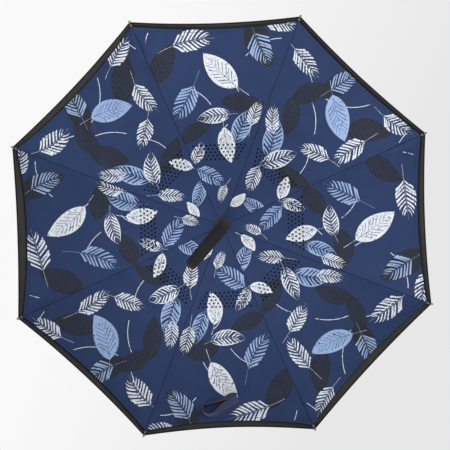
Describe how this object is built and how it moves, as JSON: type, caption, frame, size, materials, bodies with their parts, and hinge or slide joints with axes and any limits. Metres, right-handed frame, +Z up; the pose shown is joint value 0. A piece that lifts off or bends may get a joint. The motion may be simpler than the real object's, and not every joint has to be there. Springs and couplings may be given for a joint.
{
  "type": "inverted umbrella",
  "caption": "Open inverted umbrella with a printed inner cover, a plain outer cover and a C-shaped handle; folds inside out on a sliding runner.",
  "frame": {"origin": "point on the handle's spine, on the shaft's axis, that the hand closes on", "axes": "+Z up the shaft to the top cap, +X to the open side of the C handle"},
  "size_m": [1.032, 1.032, 0.7415],
  "materials": {
    "shaft_steel": "polished",
    "spring_steel": "satin",
    "wire_steel": "satin",
    "handle_black": "soft-touch matte",
    "collar_grey": "satin",
    "frame_plastic": "moulded, fine grain",
    "cap_black": "satin gloss",
    "stretcher_steel": "pressed sheet",
    "rib_coated": "black coated fibreglass tube",
    "rod_fibre": "pultruded fibreglass",
    "tip_grey": "satin",
    "outer_cloth": "plain woven pongee",
    "inner_cloth": "printed woven pongee",
    "strap_cloth": "folded strap with bound edges"
  },
  "bodies": {
    "frame": {"shaft": "shaft_steel", "c_handle": "handle_black", "handle_collar": "collar_grey", "top_notch": "frame_plastic", "notch_wire": "wire_steel", "crown_washer": "frame_plastic", "top_cap": "cap_black", "outer_canopy": "outer_cloth"},
    "runner_slide": {"runner": "frame_plastic", "runner_wire": "wire_steel", "canopy_collar": "frame_plastic", "inner_canopy": "inner_cloth"},
    "open_leaf": {"open_catch": "spring_steel"},
    "closed_leaf": {"closed_catch": "spring_steel"},
    "upper_link_1": {"stretcher_1": "stretcher_steel"},
    "rib_link_1": {"rib_1": "rib_coated", "joint_bracket_1": "frame_plastic"},
    "rod_link_1": {"flex_rod_1": "rod_fibre", "rib_tip_1": "tip_grey"},
    "upper_link_2": {"stretcher_2": "stretcher_steel"},
    "rib_link_2": {"rib_2": "rib_coated", "joint_bracket_2": "frame_plastic"},
    "rod_link_2": {"flex_rod_2": "rod_fibre", "rib_tip_2": "tip_grey"},
    "upper_link_3": {"stretcher_3": "stretcher_steel"},
    "rib_link_3": {"rib_3": "rib_coated", "joint_bracket_3": "frame_plastic"},
    "rod_link_3": {"flex_rod_3": "rod_fibre", "rib_tip_3": "tip_grey"},
    "upper_link_4": {"stretcher_4": "stretcher_steel"},
    "rib_link_4": {"rib_4": "rib_coated", "joint_bracket_4": "frame_plastic"},
    "rod_link_4": {"flex_rod_4": "rod_fibre", "rib_tip_4": "tip_grey"},
    "upper_link_5": {"stretcher_5": "stretcher_steel"},
    "rib_link_5": {"rib_5": "rib_coated", "joint_bracket_5": "frame_plastic"},
    "rod_link_5": {"flex_rod_5": "rod_fibre", "rib_tip_5": "tip_grey"},
    "upper_link_6": {"stretcher_6": "stretcher_steel"},
    "rib_link_6": {"rib_6": "rib_coated", "joint_bracket_6": "frame_plastic"},
    "rod_link_6": {"flex_rod_6": "rod_fibre", "rib_tip_6": "tip_grey"},
    "upper_link_7": {"stretcher_7": "stretcher_steel"},
    "rib_link_7": {"rib_7": "rib_coated", "joint_bracket_7": "frame_plastic"},
    "rod_link_7": {"flex_rod_7": "rod_fibre", "rib_tip_7": "tip_grey"},
    "upper_link_8": {"stretcher_8": "stretcher_steel"},
    "rib_link_8": {"rib_8": "rib_coated", "joint_bracket_8": "frame_plastic"},
    "rod_link_8": {"flex_rod_8": "rod_fibre", "rib_tip_8": "tip_grey", "tie_strap": "strap_cloth"}
  },
  "joints": [
    {"name": "fold", "type": "hinge", "parent": "frame", "child": "upper_link_1", "pos_m": [0.01264, 0.00603, 0.645], "axis": [-0.4305, 0.9026, 0], "range_deg": [0, 82], "deforming": ["outer_canopy", "inner_canopy", "tie_strap", "open_catch", "closed_catch"]},
    {"name": "rib_fold_1", "type": "hinge", "parent": "upper_link_1", "child": "rib_link_1", "pos_m": [0.23705, 0.11307, 0.61887], "axis": [-0.4305, 0.9026, 0], "range_deg": [-164, 0]},
    {"name": "rod_flex_1", "type": "hinge", "parent": "rib_link_1", "child": "rod_link_1", "pos_m": [0.25021, 0.11934, 0.61403], "axis": [-0.4305, 0.9026, 0], "range_deg": [-21.8, 0]},
    {"name": "stretcher_fold_2", "type": "hinge", "parent": "frame", "child": "upper_link_2", "pos_m": [0.00467, 0.0132, 0.645], "axis": [-0.9426, 0.3338, 0], "range_deg": [0, 82]},
    {"name": "rib_fold_2", "type": "hinge", "parent": "upper_link_2", "child": "rib_link_2", "pos_m": [0.08767, 0.24757, 0.61887], "axis": [-0.9426, 0.3338, 0], "range_deg": [-164, 0]},
    {"name": "rod_flex_2", "type": "hinge", "parent": "rib_link_2", "child": "rod_link_2", "pos_m": [0.09254, 0.26132, 0.61403], "axis": [-0.9426, 0.3338, 0], "range_deg": [-21.8, 0]},
    {"name": "stretcher_fold_3", "type": "hinge", "parent": "frame", "child": "upper_link_3", "pos_m": [-0.00603, 0.01264, 0.645], "axis": [-0.9026, -0.4305, 0], "range_deg": [0, 82]},
    {"name": "rib_fold_3", "type": "hinge", "parent": "upper_link_3", "child": "rib_link_3", "pos_m": [-0.11307, 0.23705, 0.61887], "axis": [-0.9026, -0.4305, 0], "range_deg": [-164, 0]},
    {"name": "rod_flex_3", "type": "hinge", "parent": "rib_link_3", "child": "rod_link_3", "pos_m": [-0.11934, 0.25021, 0.61403], "axis": [-0.9026, -0.4305, 0], "range_deg": [-21.8, 0]},
    {"name": "stretcher_fold_4", "type": "hinge", "parent": "frame", "child": "upper_link_4", "pos_m": [-0.0132, 0.00467, 0.645], "axis": [-0.3338, -0.9426, 0], "range_deg": [0, 82]},
    {"name": "rib_fold_4", "type": "hinge", "parent": "upper_link_4", "child": "rib_link_4", "pos_m": [-0.24757, 0.08767, 0.61887], "axis": [-0.3338, -0.9426, 0], "range_deg": [-164, 0]},
    {"name": "rod_flex_4", "type": "hinge", "parent": "rib_link_4", "child": "rod_link_4", "pos_m": [-0.26132, 0.09254, 0.61403], "axis": [-0.3338, -0.9426, 0], "range_deg": [-21.8, 0]},
    {"name": "stretcher_fold_5", "type": "hinge", "parent": "frame", "child": "upper_link_5", "pos_m": [-0.01264, -0.00603, 0.645], "axis": [0.4305, -0.9026, 0], "range_deg": [0, 82]},
    {"name": "rib_fold_5", "type": "hinge", "parent": "upper_link_5", "child": "rib_link_5", "pos_m": [-0.23705, -0.11307, 0.61887], "axis": [0.4305, -0.9026, 0], "range_deg": [-164, 0]},
    {"name": "rod_flex_5", "type": "hinge", "parent": "rib_link_5", "child": "rod_link_5", "pos_m": [-0.25021, -0.11934, 0.61403], "axis": [0.4305, -0.9026, 0], "range_deg": [-21.8, 0]},
    {"name": "stretcher_fold_6", "type": "hinge", "parent": "frame", "child": "upper_link_6", "pos_m": [-0.00467, -0.0132, 0.645], "axis": [0.9426, -0.3338, 0], "range_deg": [0, 82]},
    {"name": "rib_fold_6", "type": "hinge", "parent": "upper_link_6", "child": "rib_link_6", "pos_m": [-0.08767, -0.24757, 0.61887], "axis": [0.9426, -0.3338, 0], "range_deg": [-164, 0]},
    {"name": "rod_flex_6", "type": "hinge", "parent": "rib_link_6", "child": "rod_link_6", "pos_m": [-0.09254, -0.26132, 0.61403], "axis": [0.9426, -0.3338, 0], "range_deg": [-21.8, 0]},
    {"name": "stretcher_fold_7", "type": "hinge", "parent": "frame", "child": "upper_link_7", "pos_m": [0.00603, -0.01264, 0.645], "axis": [0.9026, 0.4305, 0], "range_deg": [0, 82]},
    {"name": "rib_fold_7", "type": "hinge", "parent": "upper_link_7", "child": "rib_link_7", "pos_m": [0.11307, -0.23705, 0.61887], "axis": [0.9026, 0.4305, 0], "range_deg": [-164, 0]},
    {"name": "rod_flex_7", "type": "hinge", "parent": "rib_link_7", "child": "rod_link_7", "pos_m": [0.11934, -0.25021, 0.61403], "axis": [0.9026, 0.4305, 0], "range_deg": [-21.8, 0]},
    {"name": "stretcher_fold_8", "type": "hinge", "parent": "frame", "child": "upper_link_8", "pos_m": [0.0132, -0.00467, 0.645], "axis": [0.3338, 0.9426, 0], "range_deg": [0, 82]},
    {"name": "rib_fold_8", "type": "hinge", "parent": "upper_link_8", "child": "rib_link_8", "pos_m": [0.24757, -0.08767, 0.61887], "axis": [0.3338, 0.9426, 0], "range_deg": [-164, 0]},
    {"name": "rod_flex_8", "type": "hinge", "parent": "rib_link_8", "child": "rod_link_8", "pos_m": [0.26132, -0.09254, 0.61403], "axis": [0.3338, 0.9426, 0], "range_deg": [-21.8, 0]},
    {"name": "runner_level", "type": "hinge", "parent": "rib_link_1", "child": "runner_slide", "pos_m": [0.01264, 0.00603, 0.59274], "axis": [-0.4305, 0.9026, 0], "range_deg": [0, 82]},
    {"name": "open_catch_press", "type": "slide", "parent": "frame", "child": "open_leaf", "axis": [-1, 0, 0], "range_m": [0, 0.0024], "stiffness_N_per_m": 400},
    {"name": "closed_catch_press", "type": "slide", "parent": "frame", "child": "closed_leaf", "axis": [-1, 0, 0], "range_m": [0, 0.0024], "stiffness_N_per_m": 400}
  ],
  "couplings": [
    {"joint": "rib_fold_1", "follows": "fold", "ratio": -2},
    {"joint": "rod_flex_1", "follows": "fold", "ratio": -0.2658},
    {"joint": "stretcher_fold_2", "follows": "fold", "ratio": 1},
    {"joint": "rib_fold_2", "follows": "fold", "ratio": -2},
    {"joint": "rod_flex_2", "follows": "fold", "ratio": -0.2658},
    {"joint": "stretcher_fold_3", "follows": "fold", "ratio": 1},
    {"joint": "rib_fold_3", "follows": "fold", "ratio": -2},
    {"joint": "rod_flex_3", "follows": "fold", "ratio": -0.2658},
    {"joint": "stretcher_fold_4", "follows": "fold", "ratio": 1},
    {"joint": "rib_fold_4", "follows": "fold", "ratio": -2},
    {"joint": "rod_flex_4", "follows": "fold", "ratio": -0.2658},
    {"joint": "stretcher_fold_5", "follows": "fold", "ratio": 1},
    {"joint": "rib_fold_5", "follows": "fold", "ratio": -2},
    {"joint": "rod_flex_5", "follows": "fold", "ratio": -0.2658},
    {"joint": "stretcher_fold_6", "follows": "fold", "ratio": 1},
    {"joint": "rib_fold_6", "follows": "fold", "ratio": -2},
    {"joint": "rod_flex_6", "follows": "fold", "ratio": -0.2658},
    {"joint": "stretcher_fold_7", "follows": "fold", "ratio": 1},
    {"joint": "rib_fold_7", "follows": "fold", "ratio": -2},
    {"joint": "rod_flex_7", "follows": "fold", "ratio": -0.2658},
    {"joint": "stretcher_fold_8", "follows": "fold", "ratio": 1},
    {"joint": "rib_fold_8", "follows": "fold", "ratio": -2},
    {"joint": "rod_flex_8", "follows": "fold", "ratio": -0.2658},
    {"joint": "runner_level", "follows": "fold", "ratio": 1}
  ]
}
